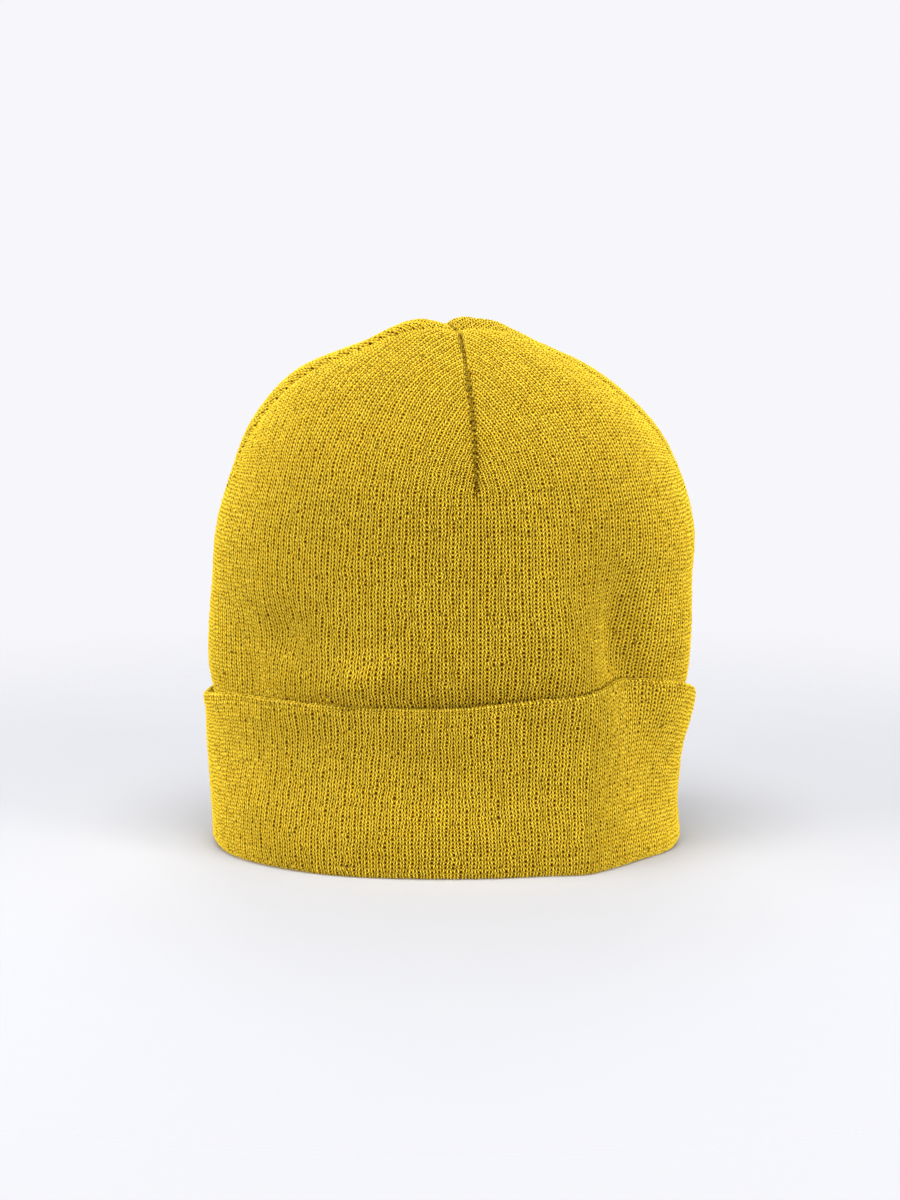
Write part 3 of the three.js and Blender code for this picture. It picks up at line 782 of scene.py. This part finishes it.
# Part of the cuff as a closed shell, knitted on the face, its foot cut flat on the ground
def cuffShell(fromWale, toWale):
    wales = np.linspace(fromWale, toWale, (toWale - fromWale) * cuffLook["perWale"] + 1)[None, :]
    rowCourses = np.arange(0, cuffLook["courses"] + 1e-6, 1 / cuffLook["perCourse"])[:, None]
    aside = np.abs(2 * np.mod(wales, 1) - 1)
    slant = stitch["slant"] * aside * ease(rowCourses, 0, cuffLook["slantRise"])
    courses = np.clip(rowCourses + slant, 0, cuffLook["courses"])
    ends = np.zeros(len(rowCourses), int), np.full(len(rowCourses), wales.size - 1)
    angle = np.broadcast_to(cuffAngle(wales), courses.shape)
    wales = np.broadcast_to(wales, courses.shape)
    place = cuffPlace(courses)
    tall = rng.uniform(*stitch["tall"], (cuffLook["wales"] + 1, cuffLook["courses"] + 2))
    relief = tall[wales.astype(int), courses.astype(int)] * stitchProfile(wales, courses) - 0.5
    rise = courses / cuffLook["courses"] * cuffLook["unevenClimb"]
    uneven = unevenness(angle + cuffLook["unevenTurn"], rise)
    proud = halfKnit + stitch["relief"] * relief + cuffLook["uneven"] * uneven
    bend = np.exp(-((place - cuffLook["bendPlace"]) / cuffLook["bendShare"]) ** 2)
    front, sideways, facing = cuffPoint(angle, place, proud - cuffLook["bendBack"] * bend)
    inside = ease(np.minimum(wales - fromWale, toWale - wales), 0, cuffLook["sideRise"])
    wander = stitch["wander"] * inside * wanderAt(wales, courses, cuffLook["beats"])
    strays = rng.normal(0, stitch["jitter"], (cuffLook["wales"] + 2, cuffLook["courses"] + 2, 2))
    stray = strayAt(strays, wales, courses) * (inside * ease(courses, *cuffLook["strayRise"]))[..., None]
    front = front + sideways * (wander + stray[..., 0])[..., None]
    front = front + np.cross(facing, sideways) * stray[..., 1][..., None]
    backWales = np.linspace(fromWale, toWale, cuffLook["backColumns"] + 1)[None, :]
    back = cuffPoint(cuffAngle(backWales), cuffPlace(rowCourses), -halfKnit)[0]
    points, triangles, uv = closeShell(front, np.stack([wales, courses], -1), back, *ends, False)
    points[:, 2] = np.maximum(points[:, 2], 0)
    return points, triangles, uv


halfWay = cuffLook["wales"] // 2
for name, fromWale, toWale in (("cuffBack", 0, halfWay), ("cuffFront", halfWay, cuffLook["wales"])):
    points, triangles, uv = cuffShell(fromWale, toWale)
    makePiece(name, points, triangles, uv, outerKnit, ["cuff_face"])
print("cuff done")

# The layer behind the cuff's face, a plain closed tube
tubeLook = {"columns": 214, "rows": 12, "courses": 38}
angle = cuffAngle(np.linspace(0, cuffLook["wales"], tubeLook["columns"] + 1))[None, :]
share = np.linspace(0, 1, tubeLook["rows"] + 1)[:, None]
tubeEnd = climbTo(edgeHeight(angle) - foldRadius - halfKnit - form["layerGap"])
climb = mix(climbTo(rollHeight + form["layerGap"]), tubeEnd, share)
point, out, _ = knitFrame(angle, climb)
middle = cuffBackPlace + drapeAt(angle, point[..., 2])
outer, inner = (point + out * (middle + side * halfKnit)[..., None] for side in (1, -1))
rows, columns = outer.shape[:2]
number = np.arange(rows)[:, None] * columns + np.arange(columns)[None, :] % (columns - 1)
loop = np.concatenate([number, number[::-1] + rows * columns, number[:1]])
points = np.concatenate([outer.reshape(-1, 3), inner.reshape(-1, 3)])
uv = np.stack(np.broadcast_arrays(np.arange(columns)[None, :] * 1.0, share * tubeLook["courses"]), -1)
uv = np.concatenate([uv.reshape(-1, 2)] * 2)
makePiece("cuffLayer", points, gridTriangles(loop), uv, innerKnit, ["cuff_back"])

# The lining, knitted on the side that faces the head
liningLook = {
    "perWale": 2, "perCourse": 1, "plainHeights": [5.5], "fromHeight": 7,
    "relief": 0.45, "face": -1, "tuck": 0.6, "tuckWidth": 1.0, "zigzag": 0,
    "uneven": 0.3, "backColumns": 16,
}
shells = [goreShell(index, liningOffset, liningLook) for index in range(len(darts))]
starts = np.cumsum([0] + [len(points) for points, _, _ in shells])
points = np.concatenate([points for points, _, _ in shells])
triangles = np.concatenate([triangles + start for (_, triangles, _), start in zip(shells, starts)])
uv = np.concatenate([uv for _, _, uv in shells])
makePiece("lining", points, triangles, uv, innerKnit, ["lining"])
print("lining done")

# Sewn edges of the darts: overlocked strips between the layers, their loops raised across them
seamLook = {
    "width": 4, "thickness": 2, "setback": 0.4, "clearance": 0.5, "start": 0.63, "end": 0.955,
    "rows": 90, "around": 12, "loops": 28, "loopHeight": 0.12,
}


# Strip beside a dart: a rounded section swept up the dart, against the wrong side of its layer
def seamStrip(dart, side, wrongSide, inward):
    climb = np.linspace(seamLook["start"], seamLook["end"], seamLook["rows"])[:, None]
    turn = np.linspace(0, 2 * np.pi, seamLook["around"], endpoint=False)[None, :]
    beat = 2 * np.pi * seamLook["loops"] * (climb - climb[0]) / (climb[-1] - climb[0])
    loops = 1 - seamLook["loopHeight"] * (0.5 + 0.5 * np.sin(beat + turn))
    across = seamLook["setback"] + seamLook["width"] * (0.5 + 0.5 * np.cos(turn) * loops)
    depth = seamLook["clearance"] + seamLook["thickness"] * (0.5 + 0.5 * np.sin(turn) * loops)
    step = 0.001
    chord = plainSkin(dart + step, climb) - plainSkin(dart - step, climb)
    angle = dart + side * across / (np.linalg.norm(chord, axis=-1) / (2 * step))
    point, out, _ = knitFrame(angle, np.broadcast_to(climb, angle.shape))
    return point + out * (wrongSide(dart, climb) + inward * depth)[..., None]


# Offset of the crown's wrong side at a place
def crownWrongSide(angle, climb):
    return crownOffset(angle, climb, knitFrame(angle, climb)[0][..., 2]) - halfKnit


# Offset of the lining's wrong side at a place
def liningWrongSide(angle, climb):
    return liningOffset(angle, climb, knitFrame(angle, climb)[0][..., 2]) + halfKnit


# Overlock thread: plain yarn colour with a fine twist along it
def threadMaterial(look):
    material, tree, shader, place = newMaterial("overlockThread", look["roughness"], look["specular"])
    twist = noiseNode(tree, place, look["twistScale"], 3.0, 0.6)
    tree.links.new(mixNode(tree, twist, look["dark"], look["light"]), shader.inputs["Base Color"])
    addBump(tree, shader, twist, look["bump"], look["bumpDistance"])
    return material


# Piece of thread from the rings of a capped tube
def makeThread(name, rings, node):
    triangles = tubeTriangles(*rings.shape[:2])
    uv = np.zeros((rings[..., 0].size, 2))
    makePiece(name, rings.reshape(-1, 3), triangles, uv, thread, [node])


thread = threadMaterial({
    "dark": (0.4, 0.24, 0.012), "light": (0.62, 0.4, 0.03), "twistScale": 900.0,
    "bump": 0.6, "bumpDistance": 0.0002, "roughness": 0.8, "specular": 0.5,
})
for layer, side, wrongSide, inward in (
    ("shell", 1, crownWrongSide, -1), ("lining", -1, liningWrongSide, 1),
):
    for dart, name in zip(darts, ("right", "back", "left", "front")):
        rings = seamStrip(dart, side, wrongSide, inward)
        makeThread(f"{layer}Overlock{name.title()}", rings, f"{layer}_seam_{name}")

# The tack that holds the two tops together: a short twisted thread
tackLook = {"radius": 1.2, "rows": 24, "around": 16, "strands": 3, "twist": 2.5, "groove": 0.22}
top = crownWrongSide(darts[0], np.array([1.0]))[0] - form["layerGap"]
bottom = liningWrongSide(darts[0], np.array([1.0]))[0] + form["layerGap"]
share = np.linspace(0, 1, tackLook["rows"])[:, None]
turn = np.linspace(0, 2 * np.pi, tackLook["around"], endpoint=False)[None, :]
strand = np.cos(tackLook["strands"] * turn + 2 * np.pi * tackLook["twist"] * share)
radius = tackLook["radius"] * (1 - tackLook["groove"] * (0.5 - 0.5 * strand))
apex = knitFrame(darts[0], np.array([1.0]))[0][0]
makeThread("crownTack", np.stack(np.broadcast_arrays(
    apex[0] + radius * np.cos(turn), apex[1] + radius * np.sin(turn), apex[2] + mix(bottom, top, share),
), -1), "crown_tack")
print("seams done")

# Floor, light tent and camera, in metres
studio = {
    "floorColour": (0.486, 0.492, 0.52), "floorVary": 0.985, "floorBounce": (0.44, 0.434, 0.44),
    "floorRoughness": 0.9, "floorSpecular": 0.1, "floorHalf": 4, "fadeStart": 0.14, "fadeEnd": 0.55,
    "sky": (0.925, 0.925, 0.965), "ambient": 0.06,
    "cameraPlace": (0.000665, -1.199748, 0.29), "cameraPitch": 80.73,
    "focalPixels": 3122, "picturePixels": 1200, "sensor": 36,
}
lamps = [
    {"name": "leftPanel", "at": (-1.1, -0.1, 0.45), "width": 0.5, "height": 0.7, "power": 3.5},
    {"name": "rightPanel", "at": (1.1, -0.1, 0.45), "width": 0.4, "height": 0.6, "power": 0.6},
    {"name": "leftFrontPanel", "at": (-1.0, -0.75, 0.25), "width": 0.5, "height": 0.6, "power": 15},
    {"name": "rightFrontPanel", "at": (0.95, -0.78, 0.2), "width": 0.4, "height": 0.5, "power": 17},
    {"name": "topPanel", "at": (0, -0.35, 1.3), "width": 0.9, "height": 0.7, "power": 21},
    {"name": "underPanel", "at": (0, 0, -0.5), "width": 0.2, "height": 0.2, "power": 1.4},
    {"name": "backPanel", "at": (0, 0.8, 1.1), "width": 1.4, "height": 0.9, "power": 4},
    {"name": "rearPanel", "at": (0, 1.7, 0.7), "width": 1.2, "height": 0.8, "power": 16},
    {"name": "frontPanel", "at": (0, -1.7, 0.9), "width": 1.2, "height": 0.8, "power": 2},
]
aim = Vector((0, 0, 0.1))


# Pale matt floor, faintly uneven, that fades into the light tent away from the hat
# The camera sees its full colour, and the hat gets a dimmer one back from it
# It is clear from below, so that the hat is seen there, and to the light of the lamp under it
def floorMaterial():
    roughness, specular = studio["floorRoughness"], studio["floorSpecular"]
    material, tree, shader, place = newMaterial("paleFloor", roughness, specular)
    dim = [studio["floorVary"] * channel for channel in studio["floorColour"]]
    colour = mixNode(tree, noiseNode(tree, place, 3.0, 2.0, 0.5), dim, studio["floorColour"])
    path = wire(tree, "ShaderNodeLightPath").outputs
    shown = mixNode(tree, path["Is Camera Ray"], studio["floorBounce"], colour)
    tree.links.new(shown, shader.inputs["Base Color"])
    away = wire(tree, "ShaderNodeVectorMath", place, operation="LENGTH").outputs["Value"]
    fade = easeNode(tree, away, studio["fadeEnd"], studio["fadeStart"])
    below = wire(tree, "ShaderNodeNewGeometry").outputs["Backfacing"]
    clear = maths(tree, "MAXIMUM", below, path["Is Shadow Ray"])
    alpha = maths(tree, "MULTIPLY", fade, maths(tree, "SUBTRACT", 1.0, clear))
    tree.links.new(alpha, shader.inputs["Alpha"])
    return material


far = studio["floorHalf"]
floorMesh = bpy.data.meshes.new("floor")
floorMesh.from_pydata([(-far, -far, 0), (far, -far, 0), (far, far, 0), (-far, far, 0)], [], [(0, 1, 2, 3)])
floorMesh.materials.append(floorMaterial())
floor = addObject("floor", floorMesh)

for lamp in lamps:
    light = bpy.data.lights.new(lamp["name"], "AREA")
    light.shape = "RECTANGLE"
    light.size, light.size_y = lamp["width"], lamp["height"]
    light.energy = lamp["power"]
    panel = addObject(lamp["name"], light)
    panel.location = lamp["at"]
    panel.rotation_euler = (aim - Vector(lamp["at"])).to_track_quat("-Z", "Y").to_euler()

# The light tent shines at strength 1 for the camera and only faintly on the hat
world = bpy.data.worlds.new("lightTent")
world.use_nodes = True
tree = world.node_tree
seen = wire(tree, "ShaderNodeLightPath").outputs["Is Camera Ray"]
background = tree.nodes["Background"]
background.inputs["Color"].default_value = (*studio["sky"], 1)
strength = maths(tree, "MULTIPLY_ADD", seen, 1 - studio["ambient"], studio["ambient"])
tree.links.new(strength, background.inputs["Strength"])
bpy.context.scene.world = world

lens = bpy.data.cameras.new("camera")
lens.sensor_width = studio["sensor"]
lens.lens = studio["focalPixels"] * lens.sensor_width / studio["picturePixels"]
lens.clip_start, lens.clip_end = 0.05, 50
camera = addObject("camera", lens)
camera.location = studio["cameraPlace"]
camera.rotation_euler = (math.radians(studio["cameraPitch"]), 0, 0)

scene = bpy.context.scene
scene.camera = camera
scene.view_settings.view_transform = "Standard"
print("stage done")
